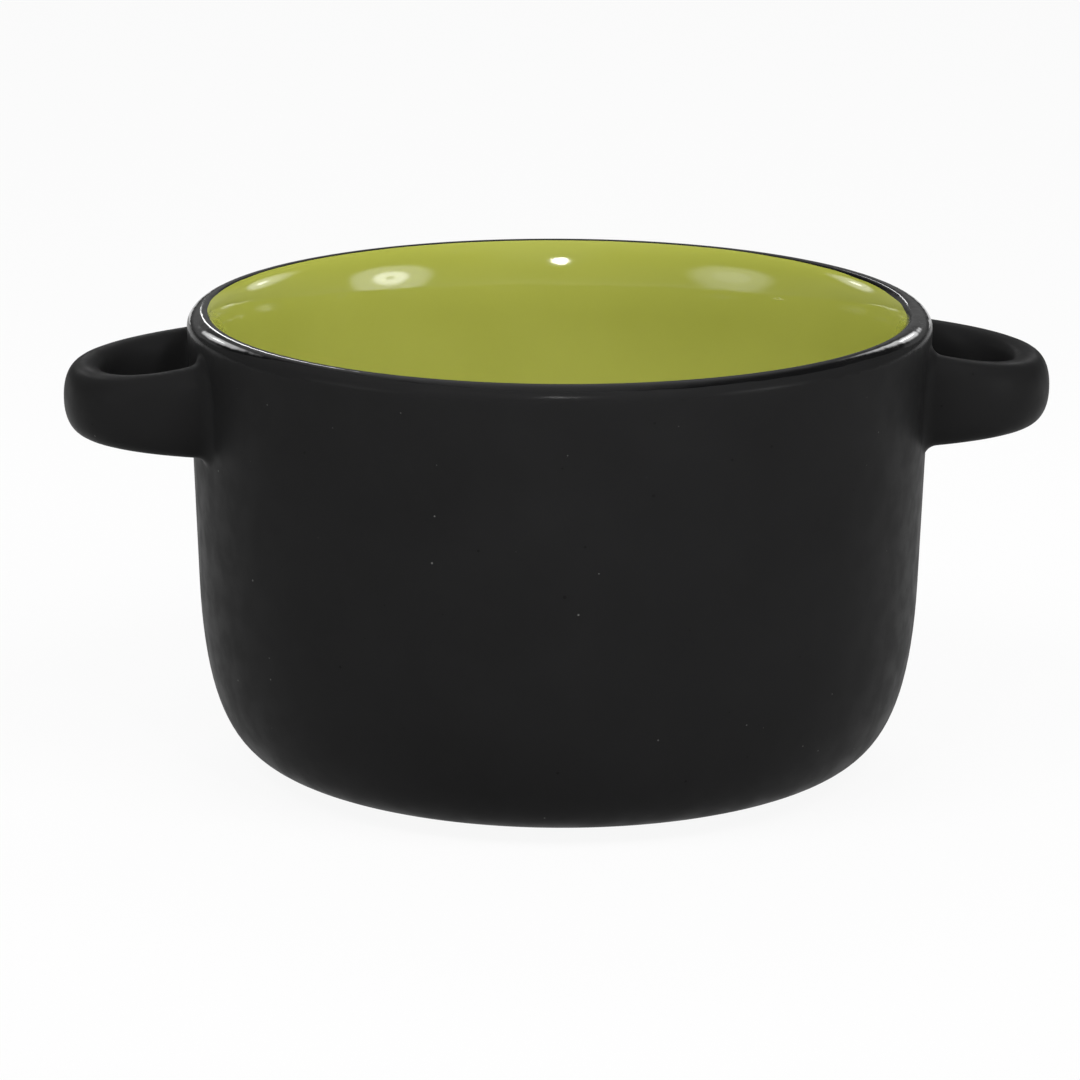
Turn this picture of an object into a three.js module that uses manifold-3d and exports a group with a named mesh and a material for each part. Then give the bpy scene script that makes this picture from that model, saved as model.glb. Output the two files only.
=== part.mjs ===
// Two-handled stoneware soup bowl, in millimetres, +Z up, standing on its foot ring at z = 0.
import * as THREE from "three";
import { mergeVertices } from "three/addons/utils/BufferGeometryUtils.js";
import Module from "manifold-3d";

const wasm = await Module();
wasm.setup();

// Facets
const turnSegments = 48;
const curveSteps = 7;
const lipStepAngle = THREE.MathUtils.degToRad(27);
const sectionSides = 14;
const tipRings = 7;
const rootRings = 6;

// Outside of the wall: a straight flaring wall above a curve that tucks in to the foot
const bowlHeight = 73.1;
const rimRadius = 58.6;
const wallFlare = 1.5;
const wallStartHeight = 30.0;
const shoulderPull = 26.8;
const footGlazeRadius = 41.5;
const footGlazeHeight = 0.8;
const footPull = 7.1;
const footRise = 1.05;

// Lip
const lipThickness = 6.3;
const crestInset = 2.8;
const lipOuterDrop = 2.4;
const lipInnerDrop = 12.0;
const rimBandStart = THREE.MathUtils.degToRad(29);
const rimBandEnd = THREE.MathUtils.degToRad(101.5);

// Inside
const wallThickness = 4.8;
const innerWallHeight = 31.0;
const innerPull = 19.5;
const floorRadius = 24.0;
const floorPull = 19.5;
const floorThickness = 4.4;
const floorDish = 0.3;

// Bare foot ring under the body
const footSetback = 0.5;
const footRingWidth = 6.2;
const footChamfer = 0.6;
const recessHeight = 2.6;
const recessFillet = 1.4;

// Handles: plan of half a loop measured from the wall, then the loop's section
const handleDrop = 12.6;
const handleReach = 16.5;
const handleTipPull = 9.1;
const handleShoulderReach = 10.0;
const handleShoulderSpread = 19.2;
const handleRootSpread = 13.7;
const handleRootSink = 5.2;
const handleDroop = 0.5;
const handleThickness = 6.55;
const handleTipDepth = 10.9;
const handleRootDepth = 14.25;
const handleTaper = 1.53;
const outerSquareness = 2.25;
const innerSquareness = 2.9;
const rootFillet = 1.9;
const filletStart = 0.86;
const rootEnd = 0.98;

// Glaze coats, slip joints and fits
const glazeThickness = 0.5;
const filletEdge = 0.1;
const slipEdge = 0.2;
const slipPad = 0.4;
const slipCollar = 1.1;
const fitGap = 0.05;

const point = (r, z) => new THREE.Vector2(r, z);

// Points along a cubic curve, without its first point.
function curve(start, startControl, endControl, end) {
  const bend = new THREE.CubicBezierCurve(start, startControl, endControl, end);
  return bend.getPoints(curveSteps).slice(1);
}

// Points along part of an ellipse round (r, z), without its first point.
function arc(r, z, halfWidth, halfHeight, startAngle, endAngle) {
  const bend = new THREE.EllipseCurve(r, z, halfWidth, halfHeight, startAngle, endAngle);
  const steps = Math.ceil((endAngle - startAngle) / lipStepAngle);
  return bend.getPoints(steps).slice(1);
}

// A point on the straight line through two others, a length beyond the second one.
function beyond(from, to, length) {
  return to.clone().sub(from).setLength(length).add(to);
}

// The glazed surface from the foot, up the outside, over the lip and down to the middle of the floor
const footEdge = point(footGlazeRadius, footGlazeHeight);
const footControl = point(footGlazeRadius + footPull, footGlazeHeight + footRise);
const wallStart = point(rimRadius - wallFlare, wallStartHeight);
const wallTop = point(rimRadius, bowlHeight - lipOuterDrop);
const shoulder = beyond(wallTop, wallStart, shoulderPull);
const crestRadius = rimRadius - crestInset;
const outsideSurface = [
  footEdge,
  ...curve(footEdge, footControl, shoulder, wallStart),
  wallTop,
  ...arc(crestRadius, wallTop.y, crestInset, lipOuterDrop, 0, rimBandStart),
];

const innerLip = point(rimRadius - lipThickness, bowlHeight - lipInnerDrop);
const innerLipWidth = crestRadius - innerLip.x;
const rimSurface = [
  ...arc(crestRadius, wallTop.y, crestInset, lipOuterDrop, rimBandStart, Math.PI / 2),
  ...arc(crestRadius, innerLip.y, innerLipWidth, lipInnerDrop, Math.PI / 2, rimBandEnd),
];

const innerWall = point(wallRadius(innerWallHeight) - wallThickness, innerWallHeight);
const innerShoulder = beyond(innerLip, innerWall, innerPull);
const floorEdge = point(floorRadius, recessHeight + floorThickness);
const floorControl = point(floorRadius + floorPull, floorEdge.y + floorDish);
const linerSurface = [
  ...arc(crestRadius, innerLip.y, innerLipWidth, lipInnerDrop, rimBandEnd, Math.PI),
  innerWall,
  ...curve(innerWall, innerShoulder, floorControl, floorEdge),
  point(0, floorEdge.y - floorDish),
];

const glazedSurface = [...outsideSurface, ...rimSurface, ...linerSurface];
const outsideEnd = outsideSurface.length;
const rimEnd = outsideEnd + rimSurface.length;

// The same surface moved into the clay by a depth, square to itself; points on the axis stay there.
function inset(depth) {
  return glazedSurface.map((here, i) => {
    const before = glazedSurface[Math.max(i - 1, 0)];
    const after = glazedSurface[Math.min(i + 1, glazedSurface.length - 1)];
    const along = after.clone().sub(before).normalize();
    const moved = point(here.x - along.y * depth, here.y + along.x * depth);
    return here.x === 0 ? point(0, here.y - depth) : moved;
  });
}

// A solid of revolution about Z from a profile of radius and height.
function turned(profile) {
  return new THREE.LatheGeometry(profile, turnSegments).rotateX(Math.PI / 2);
}

// A geometry as a solid for joining and cutting.
function solid(geometry) {
  geometry.deleteAttribute("normal");
  geometry.deleteAttribute("uv");
  const merged = mergeVertices(geometry, 1e-4);
  const vertProperties = merged.attributes.position.array;
  const triVerts = new Uint32Array(merged.index.array);
  return new wasm.Manifold(new wasm.Mesh({ numProp: 3, vertProperties, triVerts }));
}

// A solid back as a geometry.
function geometryOf(body) {
  const mesh = body.getMesh();
  const geometry = new THREE.BufferGeometry();
  geometry.setAttribute("position", new THREE.BufferAttribute(mesh.vertProperties, 3));
  geometry.setIndex(new THREE.BufferAttribute(mesh.triVerts, 1));
  geometry.computeVertexNormals();
  return geometry;
}

// A glaze coat over the part of the surface from one index to another, both included.
function coat(first, last) {
  const outer = glazedSurface.slice(first, last + 1);
  const inner = inset(glazeThickness).slice(first, last + 1).reverse();
  const profile = [...inner, ...outer];
  return profile[0].x === 0 ? profile : [...profile, profile[0]];
}

// Biscuit body: the inset surface, closed underneath by the foot ring and its recess
function bodyProfile() {
  const footOuterRadius = footGlazeRadius - footSetback;
  const footInnerRadius = footOuterRadius - footRingWidth;
  return [
    point(0, recessHeight),
    point(footInnerRadius - recessFillet, recessHeight),
    point(footInnerRadius - recessFillet * 0.3, recessHeight - recessFillet * 0.3),
    point(footInnerRadius, recessHeight - recessFillet),
    point(footInnerRadius, footChamfer),
    point(footInnerRadius + footChamfer, 0),
    point(footOuterRadius - footChamfer, 0),
    point(footOuterRadius, footChamfer),
    ...inset(glazeThickness),
  ];
}

// Everything within the outer wall surface moved in by a depth, up to the lip.
function wallSolid(depth) {
  const outer = inset(depth).slice(0, outsideEnd);
  const bottom = point(0, outer[0].y);
  const top = point(0, outer[outer.length - 1].y);
  return solid(turned([bottom, ...outer, top]));
}

// Radius of the straight wall at a height.
function wallRadius(z) {
  const share = (z - wallStart.y) / (wallTop.y - wallStart.y);
  return THREE.MathUtils.lerp(wallStart.x, wallTop.x, share);
}

const handleHeight = bowlHeight - handleDrop;
const handleWall = wallRadius(handleHeight);
const halfLoop = new THREE.CubicBezierCurve(
  point(handleWall + handleReach, 0),
  point(handleWall + handleReach, handleTipPull),
  point(handleWall + handleShoulderReach, handleShoulderSpread),
  point(handleWall - handleRootSink, handleRootSpread),
);

// Places along half a loop, from the tip to inside the wall, closer together in the root fillet.
function loopPlaces() {
  const tip = Array.from({ length: tipRings }, (_, i) => (filletStart * i) / tipRings);
  const step = (rootEnd - filletStart) / rootRings;
  const root = Array.from({ length: rootRings + 1 }, (_, i) => filletStart + step * i);
  return [...tip, ...root];
}

// One coordinate of a rounded section at an angle: a power below 1 squares the circle up.
const squared = (value, squareness) => Math.sign(value) * Math.abs(value) ** (2 / squareness);

// One ring of the handle's section on the +X side, sized down by a depth, with its root fillet or none.
function handleRing(place, side, depth, edge) {
  const centre = halfLoop.getPoint(place);
  const along = halfLoop.getTangent(place);
  const outward = point(along.y, -along.x * side);
  const rootward = Math.max(0, 1 - (centre.x - handleWall) / handleReach);
  const growth = (handleRootDepth - handleTipDepth) * rootward ** handleTaper;
  const halfDepth = (handleTipDepth + growth) / 2 - depth;
  const halfThickness = handleThickness / 2 - depth;
  const middle = handleHeight - handleDroop * (1 - rootward);
  const fillet = rootFillet + depth;
  return Array.from({ length: sectionSides }, (_, i) => {
    const angle = (2 * Math.PI * i) / sectionSides;
    const squareness = Math.cos(angle) > 0 ? outerSquareness : innerSquareness;
    const across = squared(Math.cos(angle), squareness);
    const up = squared(Math.sin(angle), squareness);
    const x = centre.x + outward.x * halfThickness * across;
    const y = centre.y * side + outward.y * halfThickness * across;
    const z = middle + halfDepth * up;
    if (edge === null) return new THREE.Vector3(x, y, z);
    const away = Math.hypot(x, y) - wallRadius(z) + depth;
    const near = fillet - THREE.MathUtils.clamp(away, edge, fillet);
    const flare = fillet - Math.sqrt(fillet ** 2 - near ** 2);
    const push = point(across / halfThickness, up / halfDepth).setLength(flare);
    return new THREE.Vector3(x + outward.x * push.x, y + outward.y * push.x, z + push.y);
  });
}

// The whole loop as a solid: rings joined side by side and closed at both ends inside the wall.
function handleLoop(depth, edge = null) {
  const places = loopPlaces();
  const front = places.map((place) => handleRing(place, -1, depth, edge)).reverse();
  const rear = places.slice(1).map((place) => handleRing(place, 1, depth, edge));
  const rings = [...front, ...rear];
  const positions = rings.flat().flatMap((corner) => corner.toArray());
  const triangles = [];
  for (let ring = 0; ring < rings.length - 1; ring++) {
    for (let side = 0; side < sectionSides; side++) {
      const a = ring * sectionSides + side;
      const b = ring * sectionSides + ((side + 1) % sectionSides);
      triangles.push(a, a + sectionSides, b, b, a + sectionSides, b + sectionSides);
    }
  }
  const last = (rings.length - 1) * sectionSides;
  for (let side = 1; side < sectionSides - 1; side++) {
    triangles.push(0, side, side + 1);
    triangles.push(last, last + side + 1, last + side);
  }
  const geometry = new THREE.BufferGeometry();
  geometry.setAttribute("position", new THREE.Float32BufferAttribute(positions, 3));
  geometry.setIndex(triangles);
  return solid(geometry);
}

// Handle clay: the loop under its glaze, ending one slip pad short of the body
function handleCore() {
  return handleLoop(glazeThickness).subtract(wallSolid(glazeThickness - slipPad));
}

// The two slip joints of a handle: a pad against the body and a collar round the root of the clay
function slipJoints() {
  const collars = handleLoop(glazeThickness, slipEdge).intersect(wallSolid(glazeThickness - slipCollar));
  const clay = handleLoop(glazeThickness - fitGap).subtract(wallSolid(glazeThickness - slipPad + fitGap));
  return collars.subtract(wallSolid(glazeThickness - fitGap)).subtract(clay);
}

// The outside glaze: one coat over the wall, both handles and the fillets between them
function outsideCoat() {
  const sleeve = handleLoop(0, filletEdge).subtract(wallSolid(glazeThickness));
  const space = handleLoop(glazeThickness - fitGap, filletEdge);
  const wall = solid(turned(coat(0, outsideEnd - 1)));
  const both = (body) => body.add(body.rotate([0, 0, 180]));
  return wall.add(both(sleeve)).subtract(both(space));
}

const stoneware = { color: 0xa08a70, roughness: 0.9, metalness: 0 };
const slip = { color: 0x8f7a62, roughness: 0.95, metalness: 0 };
const satinBlack = { color: 0x161616, roughness: 0.38, metalness: 0 };
const glossBlack = { color: 0x080808, roughness: 0.08, metalness: 0 };
const limeGreen = { color: 0x969c34, roughness: 0.1, metalness: 0 };

const bowl = new THREE.Group();
bowl.name = "soup_bowl";

function addPiece(name, geometry, finish) {
  const mesh = new THREE.Mesh(geometry, new THREE.MeshStandardMaterial(finish));
  mesh.name = name;
  bowl.add(mesh);
}

addPiece("bowl_body", turned(bodyProfile()), stoneware);
addPiece("liner_glaze", turned(coat(rimEnd - 1, glazedSurface.length - 1)), limeGreen);
addPiece("rim_glaze", turned(coat(outsideEnd - 1, rimEnd - 1)), glossBlack);
addPiece("outside_glaze", geometryOf(outsideCoat()), satinBlack);

const halfTurns = { right: 0, left: 180 };
for (const [side, degrees] of Object.entries(halfTurns)) {
  const turn = (body) => geometryOf(body.rotate([0, 0, degrees]));
  addPiece(side + "_handle", turn(handleCore()), stoneware);
  const joints = slipJoints();
  const frontward = degrees === 0 ? -1 : 1;
  addPiece(side + "_front_slip", turn(joints.trimByPlane([0, frontward, 0], 0)), slip);
  addPiece(side + "_rear_slip", turn(joints.trimByPlane([0, -frontward, 0], 0)), slip);
}

export default bowl;
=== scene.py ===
"""Looks for a stoneware soup bowl with two handles, in metres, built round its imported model."""

import logging
import math
from collections.abc import Callable, Iterable, Sequence
from dataclasses import dataclass, field
from enum import Enum
from typing import Self

import bmesh
import bpy
from mathutils import Matrix, Vector, noise
from mathutils.geometry import interpolate_bezier


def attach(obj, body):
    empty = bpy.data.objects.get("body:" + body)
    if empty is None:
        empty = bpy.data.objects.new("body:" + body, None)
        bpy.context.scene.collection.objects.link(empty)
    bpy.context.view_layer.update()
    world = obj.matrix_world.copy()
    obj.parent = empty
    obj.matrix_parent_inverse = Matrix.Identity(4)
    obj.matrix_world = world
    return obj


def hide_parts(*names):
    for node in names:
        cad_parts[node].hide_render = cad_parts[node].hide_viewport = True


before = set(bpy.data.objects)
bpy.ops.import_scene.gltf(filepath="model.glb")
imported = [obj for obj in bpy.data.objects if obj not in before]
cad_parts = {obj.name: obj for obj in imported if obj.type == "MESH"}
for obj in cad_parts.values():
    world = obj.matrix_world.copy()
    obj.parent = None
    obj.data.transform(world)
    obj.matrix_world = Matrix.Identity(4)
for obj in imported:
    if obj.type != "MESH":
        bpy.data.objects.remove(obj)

LOG = logging.getLogger("soup_bowl")
BODY = "root"
QUARTER = math.pi / 2.0
WHITE = (1.0, 1.0, 1.0, 1.0)
# A distance within which two places count as one
HAIR = 1e-6
# The part of a cloudy value's range that is stretched to the whole
CLOUD_SPAN = (0.3, 0.7)

Colour = tuple[float, float, float, float]
Span = tuple[float, float]
Socket = bpy.types.NodeSocket
Value = Socket | float
VectorRule = Callable[[Vector], Vector]


class Side(Enum):
    """Which handle is meant, by its turn about the bowl's axis."""

    RIGHT = 0.0
    LEFT = math.pi


class Root(Enum):
    """Which root of a handle is meant, by the sign of its y on the right-hand handle."""

    FRONT = -1
    REAR = 1


def section_points(start: Vector, pull: Vector, reach: Vector, end: Vector, steps: int) -> list[Vector]:
    """Points of a cubic curve in a section, radius in x and height in z, without the first.

    Args:
        start: First point of the curve.
        pull: Control point next to the first point.
        reach: Control point next to the last point.
        end: Last point of the curve.
        steps: Number of points to give.

    Returns:
        The points after the first one, up to and with the last.
    """
    return [Vector(p) for p in interpolate_bezier(start, pull, reach, end, steps + 1)[1:]]


def between(start: float, end: float, steps: int) -> list[float]:
    """Evenly spaced values after start, up to and with end.

    Args:
        start: Value that is left out.
        end: Last value.
        steps: Number of values to give.

    Returns:
        The values in order.
    """
    return [start + (end - start) * (i + 1) / steps for i in range(steps)]


def wander(turn: float, rate: float, seed: float) -> float:
    """Random value that wanders round the bowl and meets itself, quicker for a higher rate."""
    return noise.noise(Vector((math.cos(turn) * rate, math.sin(turn) * rate, seed)))


def turn_of(place: Vector) -> float:
    """Angle of a place round the bowl's axis."""
    return math.atan2(place.y, place.x)


def round_axis(point: Vector, turn: float) -> Vector:
    """A point of the section, radius in x and height in z, turned round the bowl's axis."""
    return Vector((point.x * math.cos(turn), point.x * math.sin(turn), point.z))


@dataclass(frozen=True)
class BowlSection:
    """Section of the glazed bowl: radius and height of its outside, lip, inside and floor.

    The gloss band on the lip starts at an angle on the outer rounding. It lifts towards the front,
    is thin in one place, swells inwards in another, and wavers by a small amount all round.
    """

    height: float = 0.0731
    rim_radius: float = 0.0586
    wall_flare: float = 0.0015
    wall_start: float = 0.0300
    wall_steps: int = 34
    shoulder_pull: float = 0.0268
    shoulder_steps: int = 28
    foot_radius: float = 0.0415
    foot_height: float = 0.0008
    foot_pull: float = 0.0071
    foot_rise: float = 0.00105
    crest_inset: float = 0.0028
    lip_outer_drop: float = 0.0024
    lip_inner_width: float = 0.0035
    lip_inner_drop: float = 0.0120
    inner_wall_height: float = 0.0310
    inner_wall_steps: int = 14
    wall_thickness: float = 0.0048
    inner_pull: float = 0.0195
    inner_curve_steps: int = 32
    floor_radius: float = 0.0240
    floor_pull: float = 0.0195
    floor_height: float = 0.0070
    floor_dish: float = 0.0003
    floor_steps: int = 10
    band_start: float = math.radians(28.0)
    band_lift: float = math.radians(16.0)
    lift_start: float = 0.36
    lift_width: float = 0.34
    thin_lift: float = math.radians(19.0)
    thin_turn: float = math.radians(-133.0)
    thin_width: float = math.radians(22.0)
    start_waver: float = math.radians(3.5)
    start_rate: float = 21.0
    start_seed: float = 8.0
    band_reach: float = 0.00046
    band_swell: float = 0.0008
    swell_turn: float = math.radians(-5.0)
    swell_power: int = 4
    end_waver: float = 0.00008
    end_rate: float = 9.0
    end_seed: float = 5.0
    glaze: float = 0.0004

    @property
    def wall_top(self) -> Vector:
        """Top of the straight wall, where the lip starts to round over."""
        return Vector((self.rim_radius, 0.0, self.height - self.lip_outer_drop))

    @property
    def wall_foot(self) -> Vector:
        """Bottom of the straight wall."""
        return Vector((self.rim_radius - self.wall_flare, 0.0, self.wall_start))

    @property
    def crest_radius(self) -> float:
        """Radius of the highest line of the lip."""
        return self.rim_radius - self.crest_inset

    def outer_radius(self, z: float) -> float:
        """Radius of the outside at a height on the wall or the outer rounding of the lip.

        Args:
            z: Height above the table.

        Returns:
            The radius at that height.
        """
        if z <= self.wall_top.z:
            share = (z - self.wall_start) / (self.wall_top.z - self.wall_start)
            return self.rim_radius - self.wall_flare * (1.0 - share)
        rise = min((z - self.wall_top.z) / self.lip_outer_drop, 1.0)
        return self.crest_radius + self.crest_inset * math.sqrt(1.0 - rise * rise)

    def outer_lip(self, angle: float) -> Vector:
        """Point on the outer rounding of the lip.

        Args:
            angle: From 0 at the wall to a quarter turn at the crest.

        Returns:
            The point in the section.
        """
        across = self.crest_inset * math.cos(angle)
        up = self.lip_outer_drop * math.sin(angle)
        return Vector((self.crest_radius + across, 0.0, self.wall_top.z + up))

    def inner_lip(self, angle: float) -> Vector:
        """Point on the long inner rounding of the lip.

        Args:
            angle: From a quarter turn at the crest to 0 at the inner wall.

        Returns:
            The point in the section.
        """
        across = self.lip_inner_width * math.cos(angle)
        drop = self.lip_inner_drop * (1.0 - math.sin(angle))
        return Vector((self.crest_radius - across, 0.0, self.height - drop))

    def outside(self) -> list[Vector]:
        """Points up the outside.

        Returns:
            The points, from the glaze line at the foot to the top of the wall.
        """
        foot = Vector((self.foot_radius, 0.0, self.foot_height))
        pull = foot + Vector((self.foot_pull, 0.0, self.foot_rise))
        lean = (self.wall_foot - self.wall_top).normalized()
        shoulder = self.wall_foot + lean * self.shoulder_pull
        curve = section_points(foot, pull, shoulder, self.wall_foot, self.shoulder_steps)
        shares = between(0.0, 1.0, self.wall_steps)
        return [foot, *curve, *[self.wall_foot.lerp(self.wall_top, share) for share in shares]]

    def inside(self) -> list[Vector]:
        """Points down the inside.

        Returns:
            The points, from the end of the lip's rounding to the middle of the floor.
        """
        lip_end = self.inner_lip(0.0)
        radius = self.outer_radius(self.inner_wall_height) - self.wall_thickness
        wall_end = Vector((radius, 0.0, self.inner_wall_height))
        lean = (wall_end - lip_end).normalized()
        edge = Vector((self.floor_radius, 0.0, self.floor_height))
        pull = edge + Vector((self.floor_pull, 0.0, self.floor_dish))
        middle = Vector((0.0, 0.0, self.floor_height - self.floor_dish))
        reach = wall_end + lean * self.inner_pull
        wall = [lip_end.lerp(wall_end, share) for share in between(0.0, 1.0, self.inner_wall_steps)]
        curve = section_points(wall_end, reach, pull, edge, self.inner_curve_steps)
        floor = [edge.lerp(middle, share) for share in between(0.0, 1.0, self.floor_steps)]
        return [*wall, *curve, *floor]

    def band_start_angle(self, turn: float) -> float:
        """Angle on the outer rounding where the gloss band starts.

        Args:
            turn: Angle round the bowl's axis.

        Returns:
            The angle on the lip.
        """
        forward = min(max((-math.sin(turn) - self.lift_start) / self.lift_width, 0.0), 1.0)
        lift = self.band_lift * forward * forward * (3.0 - 2.0 * forward)
        aside = math.remainder(turn - self.thin_turn, math.tau) / self.thin_width
        thin = self.thin_lift * math.exp(-aside * aside)
        quick = self.start_waver * wander(turn, self.start_rate, self.start_seed)
        return self.band_start + lift + thin + quick

    def band_end_angle(self, turn: float) -> float:
        """Angle on the inner rounding where the gloss band meets the green.

        Args:
            turn: Angle round the bowl's axis.

        Returns:
            The angle on the lip.
        """
        near = max(math.cos(turn - self.swell_turn), 0.0)
        quick = self.end_waver * wander(turn, self.end_rate, self.end_seed)
        reach = self.band_reach + self.band_swell * near**self.swell_power + quick
        return math.acos(reach / self.lip_inner_width)


@dataclass(frozen=True)
class HandleLoop:
    """One horizontal loop handle: its plan, its section and the fillets at its two roots."""

    bowl: BowlSection
    drop: float = 0.0126
    reach: float = 0.0165
    tip_pull: float = 0.0091
    shoulder_reach: float = 0.0100
    shoulder_spread: float = 0.0192
    root_spread: float = 0.0137
    root_sink: float = 0.0052
    droop: float = 0.0005
    thickness: float = 0.00655
    tip_depth: float = 0.0109
    root_depth: float = 0.01425
    taper: float = 1.53
    outer_squareness: float = 2.25
    inner_squareness: float = 2.9
    fillet: float = 0.0019
    wall_rings: int = 5
    fillet_rings: int = 9
    neck_rings: int = 6
    neck_place: float = 0.62
    loop_rings: int = 30
    search_end: float = 0.4
    search_steps: int = 40

    @property
    def height(self) -> float:
        """Height of the middle of the handle at the wall."""
        return self.bowl.height - self.drop

    @property
    def wall(self) -> float:
        """Radius of the wall at the handle's height."""
        return self.bowl.outer_radius(self.height)

    def plan(self, place: float) -> tuple[Vector, Vector]:
        """Middle line of the rear half of the loop, seen from above.

        Args:
            place: From 0 at the tip to 1 inside the wall.

        Returns:
            The point and the direction of the line there.
        """
        tip = Vector((self.wall + self.reach, 0.0))
        knee = Vector((self.wall + self.reach, self.tip_pull))
        shoulder = Vector((self.wall + self.shoulder_reach, self.shoulder_spread))
        root = Vector((self.wall - self.root_sink, self.root_spread))
        rest = 1.0 - place
        point = (
            rest**3 * tip
            + 3 * rest**2 * place * knee
            + 3 * rest * place**2 * shoulder
            + place**3 * root
        )
        along = rest**2 * (knee - tip) + 2 * rest * place * (shoulder - knee) + place**2 * (root - shoulder)
        return point, along.normalized()

    def squared(self, value: float, squareness: float) -> float:
        """One coordinate of the rounded section, squared up by a power below 1."""
        return math.copysign(abs(value) ** (2.0 / squareness), value)

    def skin(self, place: float, angle: float, root: Root) -> tuple[Vector, Vector]:
        """A point of the loop's skin without fillets, and the direction square to it in its section.

        Args:
            place: From 0 at the tip to 1 inside the wall.
            angle: Angle round the section, from 0 on the loop's outer side.
            root: The half of the loop.

        Returns:
            The point and the direction.
        """
        middle, along = self.plan(place)
        outward = Vector((along.y, -along.x))
        rootward = max(0.0, 1.0 - (middle.x - self.wall) / self.reach)
        growth = (self.root_depth - self.tip_depth) * rootward**self.taper
        half_depth = (self.tip_depth + growth) / 2.0
        half_thickness = self.thickness / 2.0
        squareness = self.outer_squareness if math.cos(angle) > 0.0 else self.inner_squareness
        across = self.squared(math.cos(angle), squareness)
        up = self.squared(math.sin(angle), squareness)
        flat = middle + outward * (half_thickness * across)
        z = self.height - self.droop * (1.0 - rootward) + half_depth * up
        tilt = Vector((across / half_thickness, up / half_depth)).normalized()
        push = outward * tilt.x
        side = root.value
        return Vector((flat.x, flat.y * side, z)), Vector((push.x, push.y * side, tilt.y))

    def gap(self, point: Vector) -> float:
        """Distance of a point from the wall, along the radius."""
        return math.hypot(point.x, point.y) - self.bowl.outer_radius(point.z)

    def place_at(self, gap: float, angle: float, root: Root) -> float:
        """Place along the loop where its skin is a given distance from the wall.

        Args:
            gap: Distance from the wall.
            angle: Angle round the section.
            root: The half of the loop.

        Returns:
            The place, from 0 at the tip to 1 inside the wall.
        """
        near, far = 1.0, self.search_end
        for _ in range(self.search_steps):
            middle = (near + far) / 2.0
            if self.gap(self.skin(middle, angle, root)[0]) < gap:
                near = middle
            else:
                far = middle
        return (near + far) / 2.0

    def on_wall(self, turn: float, z: float, gap: float) -> Vector:
        """A place a given distance off the wall."""
        return round_axis(Vector((self.bowl.outer_radius(z) + gap, 0.0, z)), turn)

    def fillet_point(self, bend: float, angle: float, root: Root) -> Vector:
        """A point of the hollow fillet between the handle and the wall.

        Args:
            bend: From 0 on the handle to a quarter turn on the wall.
            angle: Angle round the section.
            root: The half of the loop.

        Returns:
            The point.
        """
        gap = self.fillet * (1.0 - math.sin(bend))
        flare = self.fillet * (1.0 - math.cos(bend))
        point, push = self.skin(self.place_at(gap, angle, root), angle, root)
        moved = point + push * flare
        return self.on_wall(turn_of(moved), moved.z, gap)

    def strand(self, edge: Vector, angle: float, root: Root) -> list[Vector]:
        """One line of the skin, from the edge of the opening in the wall out to the tip.

        Args:
            edge: Place on the edge of the opening.
            angle: Angle round the section that belongs to it.
            root: The half of the loop.

        Returns:
            The points of the line, from the edge to the tip.
        """
        foot = self.fillet_point(QUARTER, angle, root)
        line = [edge]
        for share in between(0.0, 1.0, self.wall_rings):
            turn = turn_of(edge) + (turn_of(foot) - turn_of(edge)) * share
            line.append(self.on_wall(turn, edge.z + (foot.z - edge.z) * share, 0.0))
        for bend in between(QUARTER, 0.0, self.fillet_rings):
            line.append(self.fillet_point(bend, angle, root))
        start = self.place_at(self.fillet, angle, root)
        places = between(start, self.neck_place, self.neck_rings)
        places += between(self.neck_place, 0.0, self.loop_rings)
        line += [self.skin(place, angle, root)[0] for place in places]
        return line


@dataclass
class TurnedPiece:
    """A piece turned round the bowl's axis, while it is being modelled."""

    bowl: BowlSection
    segments: int = 240
    bm: bmesh.types.BMesh = field(default_factory=bmesh.new)

    def turn(self, section: Sequence[Vector]) -> None:
        """Turn a section round the bowl's axis.

        Args:
            section: Points of the section, in the plane of x and z.
        """
        verts = [self.bm.verts.new(point) for point in section]
        edges = [self.bm.edges.new(pair) for pair in zip(verts, verts[1:])]
        bmesh.ops.spin(
            self.bm,
            geom=[*verts, *edges],
            cent=(0.0, 0.0, 0.0),
            axis=(0.0, 0.0, 1.0),
            angle=math.tau,
            steps=self.segments,
            use_merge=True,
        )
        bmesh.ops.remove_doubles(self.bm, verts=self.bm.verts[:], dist=HAIR)

    def move(self, rule: VectorRule) -> None:
        """Move every vertex to the place that a rule gives for its old one."""
        for vert in self.bm.verts:
            vert.co = rule(vert.co)

    def finish(self, name: str, outward: VectorRule, glaze: float = 0.0) -> bpy.types.Object:
        """Turn the surface to its visible side and make the object, smooth, with its open edges sharp.

        Args:
            name: Name of the piece.
            outward: Gives the visible direction at a place on the surface.
            glaze: Thickness that an open skin gets, into the clay behind it.

        Returns:
            The new object, in the scene.
        """
        bmesh.ops.recalc_face_normals(self.bm, faces=self.bm.faces[:])
        agree = sum(
            face.calc_area() * face.normal.dot(outward(face.calc_center_median()))
            for face in self.bm.faces
        )
        if agree < 0.0:
            bmesh.ops.reverse_faces(self.bm, faces=self.bm.faces[:])
        for face in self.bm.faces:
            face.smooth = True
        for edge in self.bm.edges:
            edge.smooth = not edge.is_boundary
        mesh = bpy.data.meshes.new(name)
        self.bm.to_mesh(mesh)
        self.bm.free()
        made = bpy.data.objects.new(name, mesh)
        bpy.context.scene.collection.objects.link(made)
        if glaze:
            solid = made.modifiers.new("glaze_thickness", "SOLIDIFY")
            solid.thickness = glaze
            solid.offset = -1.0
            solid.use_even_offset = True
            solid.use_quality_normals = True
        return made


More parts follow.
